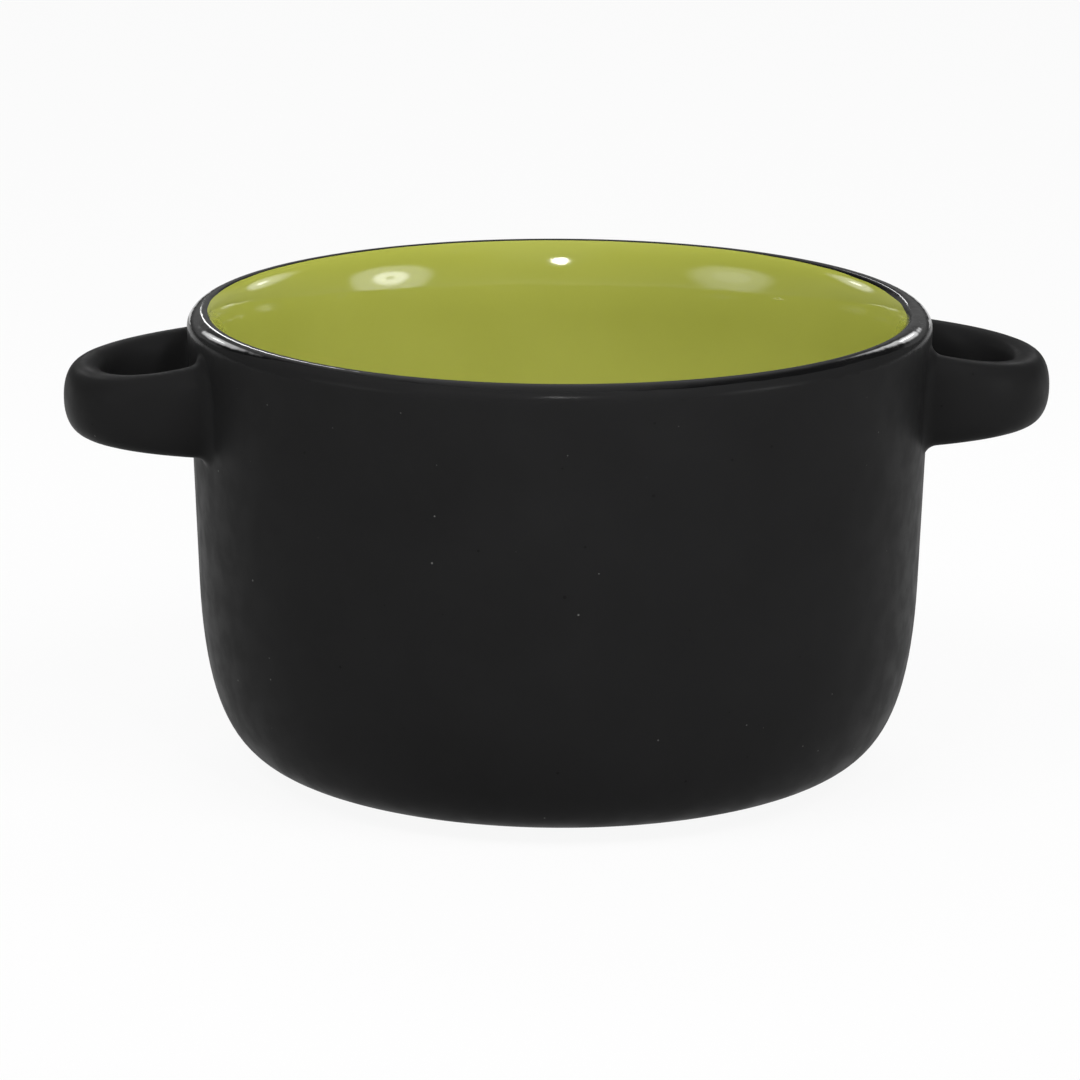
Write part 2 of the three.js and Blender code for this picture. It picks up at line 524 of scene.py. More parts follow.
@dataclass
class OutsideCoat(TurnedPiece):
    """The satin black coat: one skin over the wall, both handles and the fillets at their roots.

    The openings for the roots are given as turns and heights on the wall. The slack takes in a face
    whose middle lies right on a limit. The seam is how far a handle's last ring may lie from the edge
    of its rear opening and still be joined to it.
    """

    handle: HandleLoop = field(kw_only=True)
    root_start: float = math.radians(6.0)
    root_end: float = math.radians(24.0)
    root_bottom: float = 0.0480
    lip_knee: float = math.radians(14.5)
    knee_rows: int = 2
    lip_rows: int = 4
    slack: float = 1e-5
    seam: float = 2e-6

    @property
    def knee_height(self) -> float:
        """Height of the lip's knee, where the openings for the roots end."""
        return self.bowl.outer_lip(self.lip_knee).z

    def waver(self, place: Vector) -> Vector:
        """Move the rows above the lip's knee so that the top edge follows the gloss band.

        Args:
            place: Old place of a vertex.

        Returns:
            The new place.
        """
        if place.z <= self.knee_height + HAIR:
            return place
        turn = turn_of(place)
        angle = math.asin((place.z - self.bowl.wall_top.z) / self.bowl.lip_outer_drop)
        share = (angle - self.lip_knee) / (self.bowl.band_start - self.lip_knee)
        end = self.bowl.band_start_angle(turn)
        return round_axis(self.bowl.outer_lip(self.lip_knee + (end - self.lip_knee) * share), turn)

    def wall(self) -> None:
        """Turn the wall and the start of the lip's rounding."""
        below = between(0.0, self.lip_knee, self.knee_rows)
        above = between(self.lip_knee, self.bowl.band_start, self.lip_rows)
        rounding = [self.bowl.outer_lip(angle) for angle in [*below, *above]]
        self.turn([*self.bowl.outside(), *rounding])
        self.move(self.waver)

    def inside_root(self, place: Vector, side: Side, root: Root) -> bool:
        """Whether a place on the wall lies in the opening for one root.

        Args:
            place: Place on the wall.
            side: The handle.
            root: The root of the handle.

        Returns:
            True within the opening.
        """
        local = Matrix.Rotation(-side.value, 3, "Z") @ place
        turn = turn_of(local) * root.value
        across = self.root_start - self.slack < turn < self.root_end + self.slack
        return across and self.root_bottom < place.z < self.knee_height + self.slack

    def open_root(self, side: Side, root: Root) -> list[bmesh.types.BMEdge]:
        """Cut the opening for one root out of the wall.

        Args:
            side: The handle.
            root: The root of the handle.

        Returns:
            The edges round the opening.
        """
        cut = [f for f in self.bm.faces if self.inside_root(f.calc_center_median(), side, root)]
        gone = set(cut)
        ring = [e for f in cut for e in f.edges if any(other not in gone for other in e.link_faces)]
        bmesh.ops.delete(self.bm, geom=cut, context="FACES")
        return [e for e in dict.fromkeys(ring) if e.is_valid]

    def angle_at(self, local: Vector, root: Root) -> float:
        """Angle round the handle's section that belongs to a place on an opening's edge.

        Args:
            local: Place on the edge, on the right-hand handle.
            root: The root of the handle.

        Returns:
            The angle, from 0 on the loop's outer side.
        """
        middle_turn = (self.root_start + self.root_end) / 2.0
        across = (turn_of(local) * root.value - middle_turn) / (self.root_end - self.root_start)
        up = (local.z - self.handle.height) / (self.knee_height - self.root_bottom)
        return math.atan2(up, across)

    def draw_handle(self, side: Side) -> None:
        """Draw one handle out of the opening at its front root, up to the rear one.

        Args:
            side: The handle.
        """
        spin = Matrix.Rotation(side.value, 3, "Z")
        back = Matrix.Rotation(-side.value, 3, "Z")
        edges = self.open_root(side, Root.FRONT)
        self.open_root(side, Root.REAR)
        lines: dict[bmesh.types.BMVert, list[Vector]] = {}
        for vert in dict.fromkeys(v for e in edges for v in e.verts):
            local = back @ vert.co
            angle = self.angle_at(local, Root.FRONT)
            front = self.handle.strand(local, angle, Root.FRONT)
            mirrored = Vector((local.x, -local.y, local.z))
            rear = self.handle.strand(mirrored, angle, Root.REAR)
            lines[vert] = [*front, *reversed(rear[:-1])]
        count = len(next(iter(lines.values())))
        for ring in range(1, count):
            made = bmesh.ops.extrude_edge_only(self.bm, edges=edges)["geom"]
            fresh = {v for v in made if isinstance(v, bmesh.types.BMVert)}
            moved: dict[bmesh.types.BMVert, list[Vector]] = {}
            for vert in fresh:
                old = next(v for e in vert.link_edges for v in e.verts if v in lines)
                moved[vert] = lines[old]
                vert.co = spin @ lines[old][ring]
            edges = [e for e in made if isinstance(e, bmesh.types.BMEdge) and set(e.verts) <= fresh]
            lines = moved

    def build(self) -> bpy.types.Object:
        """Model the coat.

        Returns:
            The finished piece.
        """
        self.wall()
        for side in Side:
            self.draw_handle(side)
        bmesh.ops.remove_doubles(self.bm, verts=self.bm.verts[:], dist=self.seam)
        return self.finish("outside_coat", lambda p: Vector((p.x, p.y, 0.0)), self.bowl.glaze)


@dataclass
class RimBand(TurnedPiece):
    """The gloss black band over the lip, with wavering edges and a slight swell."""

    outer_rows: int = 14
    inner_rows: int = 8
    swell: float = 0.00005

    def lay(self, place: Vector) -> Vector:
        """Lay a vertex of the turned strip on the lip.

        Args:
            place: Place on the strip, its row number as its height.

        Returns:
            The place on the lip.
        """
        bowl = self.bowl
        turn = turn_of(place)
        row = place.z
        if row <= self.outer_rows:
            start = bowl.band_start_angle(turn)
            angle = start + (QUARTER - start) * row / self.outer_rows
            point = bowl.outer_lip(angle)
            tilt = Vector((math.cos(angle) / bowl.crest_inset, math.sin(angle) / bowl.lip_outer_drop))
        else:
            end = bowl.band_end_angle(turn)
            angle = QUARTER + (end - QUARTER) * (row - self.outer_rows) / self.inner_rows
            point = bowl.inner_lip(angle)
            tilt = Vector((-math.cos(angle) / bowl.lip_inner_width, math.sin(angle) / bowl.lip_inner_drop))
        share = row / (self.outer_rows + self.inner_rows)
        rise = tilt.normalized() * self.swell * math.sin(math.pi * share)
        return round_axis(point + Vector((rise.x, 0.0, rise.y)), turn)

    def build(self) -> bpy.types.Object:
        """Model the band.

        Returns:
            The finished piece.
        """
        rows = self.outer_rows + self.inner_rows
        self.turn([Vector((1.0, 0.0, row)) for row in range(rows + 1)])
        self.move(self.lay)
        return self.finish("rim_band", lambda p: Vector((0.0, 0.0, 1.0)), self.bowl.glaze)


@dataclass
class GreenLiner(TurnedPiece):
    """The green glaze inside, from the edge of the gloss band to the middle of the floor."""

    lip_rows: int = 26
    middle_height: float = 0.05

    def waver(self, place: Vector) -> Vector:
        """Fit the rows of the lip to the wavering edge of the gloss band.

        Args:
            place: Old place of a vertex.

        Returns:
            The new place.
        """
        lip_end = self.bowl.inner_lip(0.0)
        if place.z <= lip_end.z + HAIR:
            return place
        turn = turn_of(place)
        share = (place.z - lip_end.z) / self.bowl.lip_inner_drop
        return round_axis(self.bowl.inner_lip(self.bowl.band_end_angle(turn) * share), turn)

    def inward(self, place: Vector) -> Vector:
        """Direction from a place on the liner to the middle of the hollow."""
        return Vector((-place.x, -place.y, self.middle_height - place.z))

    def build(self) -> bpy.types.Object:
        """Model the liner.

        Returns:
            The finished piece.
        """
        end = self.bowl.inner_lip(0.0)
        top = end + Vector((0.0, 0.0, self.bowl.lip_inner_drop))
        lip = [top, *[top.lerp(end, share) for share in between(0.0, 1.0, self.lip_rows)]]
        self.turn([*lip, *self.bowl.inside()])
        self.move(self.waver)
        return self.finish("green_liner", self.inward, self.bowl.glaze)


@dataclass
class ClayBody(TurnedPiece):
    """The biscuit body under the glaze, with its bare foot ring and the recess inside that."""

    depth: float = 0.0005
    setback: float = 0.0005
    ring_width: float = 0.0062
    edge: float = 0.0007
    edge_steps: int = 6
    recess: float = 0.0026
    recess_fillet: float = 0.0016
    roof_share: float = 0.98
    roof_steps: int = 12
    lip_outer_steps: int = 10
    lip_inner_steps: int = 16
    foot_top: float = 0.003

    def rounding(self, middle: Vector, radius: float, start: float, end: float) -> list[Vector]:
        """Points of a rounded edge in the section.

        Args:
            middle: Centre of the rounding.
            radius: Its radius.
            start: First angle.
            end: Last angle.

        Returns:
            The points, both ends included.
        """
        angles = [start, *between(start, end, self.edge_steps)]
        return [middle + radius * Vector((math.cos(a), 0.0, math.sin(a))) for a in angles]

    def glazed(self) -> list[Vector]:
        """The glazed surface moved into the clay by the depth of the glaze.

        Returns:
            The points, from the glaze line at the foot to the middle of the floor.
        """
        outer = [self.bowl.outer_lip(a) for a in between(0.0, QUARTER, self.lip_outer_steps)]
        inner = [self.bowl.inner_lip(a) for a in between(QUARTER, 0.0, self.lip_inner_steps)]
        line = [*self.bowl.outside(), *outer, *inner, *self.bowl.inside()]
        moved = []
        for i, here in enumerate(line):
            along = (line[min(i + 1, len(line) - 1)] - line[max(i - 1, 0)]).normalized()
            moved.append(here + self.depth * Vector((-along.z, 0.0, along.x)))
        moved[-1].x = 0.0
        return moved

    def section(self) -> list[Vector]:
        """The whole section.

        Returns:
            The points, from the middle of the recess to the middle of the floor.
        """
        outer = self.bowl.foot_radius - self.setback
        inner = outer - self.ring_width
        middle = Vector((0.0, 0.0, self.recess))
        bend = Vector((inner - self.recess_fillet, 0.0, self.recess - self.recess_fillet))
        roof_end = bend + Vector((0.0, 0.0, self.recess_fillet))
        inner_edge = Vector((inner + self.edge, 0.0, self.edge))
        outer_edge = Vector((outer - self.edge, 0.0, self.edge))
        roof = [middle.lerp(roof_end, share) for share in between(0.0, self.roof_share, self.roof_steps)]
        hollow = self.rounding(bend, self.recess_fillet, QUARTER, 0.0)
        inside = self.rounding(inner_edge, self.edge, math.pi, 3.0 * QUARTER)
        outside = self.rounding(outer_edge, self.edge, 3.0 * QUARTER, math.tau)
        return [middle, *roof, *hollow, *inside, *outside, *self.glazed()]

    def outward(self, place: Vector) -> Vector:
        """Visible direction at the foot, and none above it."""
        return Vector((place.x, place.y, 0.0)) if place.z < self.foot_top else Vector()

    def build(self) -> bpy.types.Object:
        """Model the body.

        Returns:
            The finished piece.
        """
        self.turn(self.section())
        return self.finish("clay_body", self.outward)


def settle(piece: bpy.types.Object, finish: bpy.types.Material, slot: str, *nodes: str) -> None:
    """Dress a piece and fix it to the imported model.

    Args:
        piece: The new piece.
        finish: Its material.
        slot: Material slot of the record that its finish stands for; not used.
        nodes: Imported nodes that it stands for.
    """
    piece.data.materials.append(finish)
    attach(piece, BODY)
    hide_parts(*nodes)
    LOG.info("%s: %d faces, for %s", piece.name, len(piece.data.polygons), ", ".join(nodes))


@dataclass(frozen=True)
class Cloud:
    """A cloudy pattern: clouds per metre, and how many finer layers they have."""

    scale: Value
    detail: float


class Graph:
    """A node tree with short ways to add and join nodes."""

    def __init__(self, tree: bpy.types.NodeTree) -> None:
        """Take a node tree to work in."""
        self.tree = tree

    @classmethod
    def of(cls, owner: bpy.types.ID) -> Self:
        """Start with the emptied node tree of a material, world or lamp.

        Args:
            owner: What the nodes belong to.

        Returns:
            The graph.
        """
        owner.use_nodes = True
        owner.node_tree.nodes.clear()
        return cls(owner.node_tree)

    def node(self, kind: str, inputs: dict | None = None, **settings: object) -> bpy.types.Node:
        """Add a node.

        Args:
            kind: Type of the node.
            inputs: Values or sockets for its inputs, by name or number.
            settings: Its other settings.

        Returns:
            The node.
        """
        made = self.tree.nodes.new(kind)
        for name, value in settings.items():
            setattr(made, name, value)
        for name, value in (inputs or {}).items():
            if isinstance(value, Socket):
                self.tree.links.new(value, made.inputs[name])
            else:
                made.inputs[name].default_value = value
        return made

    def math(self, kind: str, first: Value, second: Value = 0.0) -> Socket:
        """Add a sum on one or two values and give its result."""
        return self.node("ShaderNodeMath", {0: first, 1: second}, operation=kind).outputs[0]

    def ramp(self, value: Value, low: float, high: float, start: Value = 0.0, end: Value = 1.0) -> Socket:
        """Bring a value from one range to another, smoothly and within it.

        Args:
            value: The value.
            low: Where the range starts.
            high: Where the range ends.
            start: Result at the start.
            end: Result at the end.

        Returns:
            The result.
        """
        inputs = {"Value": value, "From Min": low, "From Max": high, "To Min": start, "To Max": end}
        return self.node("ShaderNodeMapRange", inputs, interpolation_type="SMOOTHSTEP").outputs[0]

    def mix(self, share: Value, first: Socket | Colour, second: Socket | Colour) -> Socket:
        """Mix two colours and give the result."""
        return self.node("ShaderNodeMix", {0: share, 6: first, 7: second}, data_type="RGBA").outputs[2]

    def cloud(self, place: Socket, cloud: Cloud) -> Socket:
        """Give a cloudy value from 0 to 1 at a place on the piece."""
        inputs = {"Vector": place, "Scale": cloud.scale, "Detail": cloud.detail}
        return self.node("ShaderNodeTexNoise", inputs).outputs["Fac"]

    def mottle(self, place: Socket, cloud: Cloud, start: float = 0.0, end: float = 1.0) -> Socket:
        """Give a cloudy value that is stretched to run from start to end."""
        return self.ramp(self.cloud(place, cloud), *CLOUD_SPAN, start, end)

    def height(self, place: Socket) -> Socket:
        """Give the height of a place."""
        return self.node("ShaderNodeSeparateXYZ", {0: place}).outputs["Z"]

    def radius(self, place: Socket) -> Socket:
        """Give the distance of a place from the bowl's axis."""
        flat = self.node("ShaderNodeVectorMath", {0: place, 1: (1.0, 1.0, 0.0)}, operation="MULTIPLY")
        return self.node("ShaderNodeVectorMath", {0: flat.outputs[0]}, operation="LENGTH").outputs["Value"]


def effect_group(name: str, values: Sequence[str], result: str) -> tuple[Graph, bpy.types.NodeOutputs]:
    """Start an effect: a node group that reads a place and some values and gives one result.

    Args:
        name: Name of the effect.
        values: Names of its values.
        result: Name of its result.

    Returns:
        Its graph, and the sockets that its place and values come from.
    """
    tree = bpy.data.node_groups.new(name, "ShaderNodeTree")
    tree.interface.new_socket("Place", in_out="INPUT", socket_type="NodeSocketVector")
    for value in values:
        tree.interface.new_socket(value, in_out="INPUT", socket_type="NodeSocketFloat")
    tree.interface.new_socket(result, in_out="OUTPUT", socket_type="NodeSocketFloat")
    graph = Graph(tree)
    return graph, graph.node("NodeGroupInput").outputs


def ripple_group() -> bpy.types.NodeTree:
    """Build the effect for the surface of a fired glaze: slow ripples under a fine skin.

    Returns:
        The node group, with one height as its result.
    """
    graph, given = effect_group("glaze_ripple", ("Ripple Scale", "Ripple", "Skin Scale", "Skin"), "Height")
    slow = graph.cloud(given["Place"], Cloud(given["Ripple Scale"], detail=1.0))
    fine = graph.cloud(given["Place"], Cloud(given["Skin Scale"], detail=2.0))
    ripple = graph.math("MULTIPLY", slow, given["Ripple"])
    skin = graph.math("MULTIPLY", fine, given["Skin"])
    graph.node("NodeGroupOutput", {"Height": graph.math("ADD", ripple, skin)})
    return graph.tree


def speck_group() -> bpy.types.NodeTree:
    """Build the effect of scattered specks in a fired surface.

    Returns:
        The node group, with one mask as its result.
    """
    graph, given = effect_group("fired_specks", ("Scale", "Share", "Size"), "Specks")
    cells = graph.node("ShaderNodeTexVoronoi", {"Vector": given["Place"], "Scale": given["Scale"]})
    pick = graph.node("ShaderNodeSeparateColor", {0: cells.outputs["Color"]})
    chosen = graph.math("LESS_THAN", pick.outputs[0], given["Share"])
    size = graph.math("MULTIPLY", pick.outputs[1], given["Size"])
    small = graph.math("LESS_THAN", cells.outputs["Distance"], size)
    graph.node("NodeGroupOutput", {"Specks": graph.math("MULTIPLY", chosen, small)})
    return graph.tree


@dataclass(frozen=True)
class Effects:
    """The effects that several finishes share."""

    ripple: bpy.types.NodeTree
    specks: bpy.types.NodeTree


@dataclass(frozen=True)
class Specks:
    """Scattered specks of one colour, which cover what lies under them in part or in full.

    Scale is cells per metre, share the part of the cells that hold a speck, and size the largest
    radius of a speck, in cells.
    """

    scale: float
    share: float
    size: float
    colour: Colour
    cover: float = 1.0


@dataclass(frozen=True)
class Ripple:
    """Relief of a fired surface: waves per metre and their height, for ripples and for a fine skin."""

    ripple_scale: float
    ripple: float
    skin_scale: float
    skin: float


@dataclass(frozen=True)
class Finish:
    """A fired surface: two mottled colours, specks, a range of roughness, relief and gloss."""

    name: str
    effects: Effects
    first: Colour
    second: Colour
    mottle: Cloud
    specks: tuple[Specks, ...]
    grain: Cloud
    roughness: Span
    relief: Ripple
    gloss: float = 0.5

    def base(self, graph: Graph, place: Socket) -> Socket:
        """Give the mottled colour under the specks."""
        return graph.mix(graph.cloud(place, self.mottle), self.first, self.second)

    def speckled(self, graph: Graph, place: Socket) -> Socket:
        """Give the colour with its specks.

        Args:
            graph: Graph of the material.
            place: Where on the piece.

        Returns:
            The colour.
        """
        colour = self.base(graph, place)
        for layer in self.specks:
            inputs = {"Place": place, "Scale": layer.scale, "Share": layer.share, "Size": layer.size}
            mask = graph.node("ShaderNodeGroup", inputs, node_tree=self.effects.specks).outputs["Specks"]
            colour = graph.mix(graph.math("MULTIPLY", mask, layer.cover), colour, layer.colour)
        return colour

    def rough(self, graph: Graph, place: Socket) -> Socket:
        """Give the roughness."""
        return graph.mottle(place, self.grain, *self.roughness)

    def height(self, graph: Graph, place: Socket) -> Socket:
        """Give the height of the relief in metres.

        Args:
            graph: Graph of the material.
            place: Where on the piece.

        Returns:
            The height.
        """
        inputs = {
            "Place": place,
            "Ripple Scale": self.relief.ripple_scale,
            "Ripple": self.relief.ripple,
            "Skin Scale": self.relief.skin_scale,
            "Skin": self.relief.skin,
        }
        return graph.node("ShaderNodeGroup", inputs, node_tree=self.effects.ripple).outputs["Height"]

    def make(self) -> bpy.types.Material:
        """Build the material.

        Returns:
            The material.
        """
        material = bpy.data.materials.new(self.name)
        graph = Graph.of(material)
        place = graph.node("ShaderNodeTexCoord").outputs["Object"]
        relief = {"Strength": 1.0, "Distance": 1.0, "Height": self.height(graph, place)}
        inputs = {
            "Base Color": self.speckled(graph, place),
            "Roughness": self.rough(graph, place),
            "Specular IOR Level": self.gloss,
            "Normal": graph.node("ShaderNodeBump", relief).outputs[0],
        }
        shader = graph.node("ShaderNodeBsdfPrincipled", inputs)
        graph.node("ShaderNodeOutputMaterial", {"Surface": shader.outputs[0]})
        return material


@dataclass(frozen=True)
class SatinBlack(Finish):
    """The satin black glaze outside: dark pits, pale specks, and smoother under the gloss band."""

    first: Colour = (0.0098, 0.0098, 0.0099, 1.0)
    second: Colour = (0.0132, 0.0132, 0.0134, 1.0)
    mottle: Cloud = Cloud(70.0, 3.0)
    specks: tuple[Specks, ...] = (
        Specks(350.0, 0.50, 0.100, (0.0065, 0.0065, 0.0066, 1.0)),
        Specks(420.0, 0.30, 0.070, (0.095, 0.095, 0.092, 1.0)),
    )
    grain: Cloud = Cloud(240.0, 4.0)
    roughness: Span = (0.39, 0.49)
    relief: Ripple = Ripple(150.0, 0.00003, 2600.0, 0.000006)
    gloss: float = 0.024
    edge: Span = (0.0709, 0.0720)
    edge_fray: float = 0.0012
    edge_cloud: Cloud = Cloud(420.0, 3.0)
    edge_share: float = 0.45

    def rough(self, graph: Graph, place: Socket) -> Socket:
        """Give the roughness, less towards a frayed line under the gloss band.

        Args:
            graph: Graph of the material.
            place: Where on the piece.

        Returns:
            The roughness.
        """
        fray = graph.math("MULTIPLY", graph.cloud(place, self.edge_cloud), self.edge_fray)
        edge = graph.ramp(graph.math("ADD", graph.height(place), fray), *self.edge)
        share = graph.ramp(edge, 0.0, 1.0, 1.0, self.edge_share)
        return graph.math("MULTIPLY", graph.mottle(place, self.grain, *self.roughness), share)


@dataclass(frozen=True)
class GlossBlack(Finish):
    """The gloss black glaze of the rim band."""

    first: Colour = (0.0025, 0.0025, 0.0027, 1.0)
    second: Colour = (0.0050, 0.0050, 0.0052, 1.0)
    mottle: Cloud = Cloud(120.0, 2.0)
    specks: tuple[Specks, ...] = ()
    grain: Cloud = Cloud(500.0, 3.0)
    roughness: Span = (0.06, 0.12)
    relief: Ripple = Ripple(260.0, 0.00009, 900.0, 0.000006)


@dataclass(frozen=True)
class LimeGreen(Finish):
    """The glossy lime green liner: slightly mottled, paler towards the floor and darker towards the rim by
    painted shade.
    """

    first: Colour = (0.415, 0.429, 0.091, 1.0)
    second: Colour = (0.311, 0.329, 0.055, 1.0)
    mottle: Cloud = Cloud(55.0, 3.0)
    specks: tuple[Specks, ...] = (Specks(260.0, 0.05, 0.05, (0.20, 0.21, 0.02, 1.0), cover=0.5),)
    grain: Cloud = Cloud(300.0, 2.0)
    roughness: Span = (0.05, 0.09)
    relief: Ripple = Ripple(110.0, 0.00006, 1200.0, 0.000002)
    # Heights over which painted shade darkens the green from the floor towards the rim
    painted_shade_heights: Span = (0.046, 0.080)
    painted_shade_waver: float = 0.012

    def base(self, graph: Graph, place: Socket) -> Socket:
        """Give the colour under the specks, by height with a cloudy edge: painted shade, darker towards the
        rim.

        Args:
            graph: Graph of the material.
            place: Where on the piece.

        Returns:
            The colour.
        """
        # Painted shade: the green runs from paler near the floor to darker towards the rim
        waver = graph.math("MULTIPLY", graph.cloud(place, self.mottle), self.painted_shade_waver)
        level = graph.math("ADD", graph.height(place), waver)
        return graph.mix(graph.ramp(level, *self.painted_shade_heights), self.first, self.second)


@dataclass(frozen=True)
class BareClay(Finish):
    """Bare fired clay: buff, gritty, with iron specks and the rings of the wheel."""

    first: Colour = (0.36, 0.27, 0.18, 1.0)
    second: Colour = (0.47, 0.37, 0.26, 1.0)
    mottle: Cloud = Cloud(130.0, 5.0)
    specks: tuple[Specks, ...] = (Specks(900.0, 0.16, 0.26, (0.09, 0.06, 0.04, 1.0), cover=0.8),)
    grain: Cloud = Cloud(800.0, 3.0)
    roughness: Span = (0.78, 0.95)
    relief: Ripple = Ripple(420.0, 0.00004, 4200.0, 0.00004)
    ring_rate: float = 5200.0
    ring_height: float = 0.000012

    def base(self, graph: Graph, place: Socket) -> Socket:
        """Give the colour under the specks, in strong clouds."""
        return graph.mix(graph.mottle(place, self.mottle), self.first, self.second)

    def height(self, graph: Graph, place: Socket) -> Socket:
        """Give the height of the grit and the rings in metres.

        Args:
            graph: Graph of the material.
            place: Where on the piece.

        Returns:
            The height.
        """
        wave = graph.math("SINE", graph.math("MULTIPLY", graph.radius(place), self.ring_rate))
        rings = graph.math("MULTIPLY", wave, self.ring_height)
        return graph.math("ADD", super().height(graph, place), rings)


@dataclass(frozen=True)
class Lamp:
    """A soft oval lamp: its middle, the direction of its length, its size and its light.

    Its face fades from the share fade of its half width outwards. A core of a given share of the
    width is brighter by gain, with a dark middle where the lamp's own holder hides it. Both have
    soft edges, which start at a share of their own width.
    """

    name: str
    middle: Vector
    along: Vector
    size: Span
    power: float
    fade: float = 0.7
    core: float = 0.2
    core_edge: float = 0.6
    gain: float = 0.0
    hollow: float = 0.0
    hollow_edge: float = 0.4
    mirrored: bool = True


@dataclass(frozen=True)
class Room:
    """Light of the room by direction: pale at the horizon, dim at the rear, with a strip overhead.

    Pairs of strengths run from front to rear. The other pairs say where a change starts and ends, as
    shares of the way rearward, upward or aside.
    """

    rearward: Span = (-0.3, 0.5)
    horizon: Span = (0.85, 0.08)
    walls: Span = (0.14, 0.24)
    walls_rise: Span = (0.02, 0.16)
    ceiling: float = 0.12
    ceiling_rise: Span = (0.25, 0.40)
    strip: float = 0.35
    strip_aside: Span = (0.12, 0.42)
    strip_rise: Span = (0.3, 0.5)


@dataclass
class Studio:
    """A pale floor, soft studio lamps and the camera at the photograph's place."""

    room: Room = Room()
    target: Vector = field(default_factory=lambda: Vector((0.0, 0.0, 0.0364)))
    elevation: float = math.radians(14.205)
    swing: float = math.radians(5.35)
    distance: float = 0.83665
    lens: float = 175.3
    sensor: float = 36.0
    nearest: float = 0.01
    aim_right: float = -0.00297
    aim_up: float = -0.00111
    roll: float = math.radians(0.22)
    floor_size: float = 8.0
    floor_cells: int = 8
    floor_gap: float = 0.0001
    floor_colour: Colour = (0.62, 0.62, 0.62, 1.0)
    floor_white: float = 0.92
    lamp_target: Vector = field(default_factory=lambda: Vector((0.0, 0.0, 0.068)))

    def camera(self) -> None:
        """Create the camera and set it as the scene's."""
        flat = self.distance * math.cos(self.elevation)
        rise = self.distance * math.sin(self.elevation)
        offset = Vector((-math.sin(self.swing) * flat, -math.cos(self.swing) * flat, rise))
        turn = (-offset).to_track_quat("-Z", "Y")
        aim = self.target + turn @ Vector((self.aim_right, self.aim_up, 0.0))
        place = self.target + offset
        look = (aim - place).to_track_quat("-Z", "Y").to_matrix().to_4x4()
        data = bpy.data.cameras.new("photo_camera")
        data.lens = self.lens
        data.sensor_width = self.sensor
        data.clip_start = self.nearest
        camera = bpy.data.objects.new("photo_camera", data)
        camera.matrix_world = Matrix.Translation(place) @ look @ Matrix.Rotation(self.roll, 4, "Z")
        bpy.context.scene.collection.objects.link(camera)
        bpy.context.scene.camera = camera

    def floor(self) -> None:
        """Lay the floor: pale, as white in reflections as to the camera, and keeping the bowl's shadow."""
        bm = bmesh.new()
        cells = self.floor_cells
        bmesh.ops.create_grid(bm, x_segments=cells, y_segments=cells, size=self.floor_size / 2.0)
        mesh = bpy.data.meshes.new("floor")
        bm.to_mesh(mesh)
        bm.free()
        floor = bpy.data.objects.new("floor", mesh)
        floor.location.z = -self.floor_gap
        bpy.context.scene.collection.objects.link(floor)
        material = bpy.data.materials.new("pale_floor")
        graph = Graph.of(material)
        matt = graph.node("ShaderNodeBsdfDiffuse", {"Color": self.floor_colour})
        glow = graph.node("ShaderNodeEmission", {"Color": WHITE, "Strength": 1.0})
        ray = graph.node("ShaderNodeLightPath").outputs
        mirrored = graph.math("MAXIMUM", ray["Is Glossy Ray"], ray["Is Transmission Ray"])
        seen = graph.math("MAXIMUM", ray["Is Camera Ray"], mirrored)
        share = graph.math("MULTIPLY", seen, self.floor_white)
        both = graph.node("ShaderNodeMixShader", {0: share, 1: matt.outputs[0], 2: glow.outputs[0]})
        graph.node("ShaderNodeOutputMaterial", {"Surface": both.outputs[0]})
        mesh.materials.append(material)

    def world(self) -> None:
        """Give the room its light."""
        room = self.room
        world = bpy.data.worlds.new("studio")
        bpy.context.scene.world = world
        graph = Graph.of(world)
        way = graph.node("ShaderNodeTexCoord").outputs["Generated"]
        aside, rearward, rise = graph.node("ShaderNodeSeparateXYZ", {0: way}).outputs
        horizon = graph.ramp(rearward, *room.rearward, *room.horizon)
        walls = graph.ramp(rearward, *room.rearward, *room.walls)
        around = graph.ramp(rise, *room.walls_rise, horizon, walls)
        dimmed = graph.math("MULTIPLY", around, graph.ramp(rise, *room.ceiling_rise, 1.0, room.ceiling))
        strip = graph.ramp(graph.math("ABSOLUTE", aside), *room.strip_aside, room.strip, 0.0)
        overhead = graph.math("MULTIPLY", strip, graph.ramp(rise, *room.strip_rise))
        strength = graph.math("ADD", dimmed, overhead)
        sky = graph.node("ShaderNodeBackground", {"Color": WHITE, "Strength": strength})
        graph.node("ShaderNodeOutputWorld", {"Surface": sky.outputs[0]})

    def lamp(self, lamp: Lamp) -> None:
        """Hang a soft lamp that points at the bowl.

        Args:
            lamp: What the lamp is like and where it hangs.
        """
        data = bpy.data.lights.new(lamp.name, "AREA")
        data.shape = "ELLIPSE"
        data.size, data.size_y = lamp.size
        data.energy = lamp.power
        graph = Graph.of(data)
        across = graph.node("ShaderNodeNewGeometry").outputs["Parametric"]
        from_middle = {0: across, 1: (0.5, 0.5, 0.0)}
        away = graph.node("ShaderNodeVectorMath", from_middle, operation="DISTANCE").outputs["Value"]
        veil = graph.ramp(away, 0.5, 0.5 * lamp.fade)
        core = graph.math("MULTIPLY", graph.ramp(away, lamp.core, lamp.core * lamp.core_edge), lamp.gain)
        if lamp.hollow:
            rim = graph.ramp(away, lamp.hollow * lamp.hollow_edge, lamp.hollow)
            core = graph.math("MULTIPLY", core, rim)
        shade = graph.node("ShaderNodeEmission", {"Strength": graph.math("ADD", veil, core)})
        graph.node("ShaderNodeOutputLight", {0: shade.outputs[0]})
        hung = bpy.data.objects.new(lamp.name, data)
        hung.visible_camera = False
        hung.visible_glossy = lamp.mirrored
        away_from = (lamp.middle - self.lamp_target).normalized()
        along = lamp.along.normalized()
        up = away_from.cross(along).normalized()
        axes = Matrix((along, up, along.cross(up))).transposed().to_4x4()
        hung.matrix_world = Matrix.Translation(lamp.middle) @ axes
        bpy.context.scene.collection.objects.link(hung)

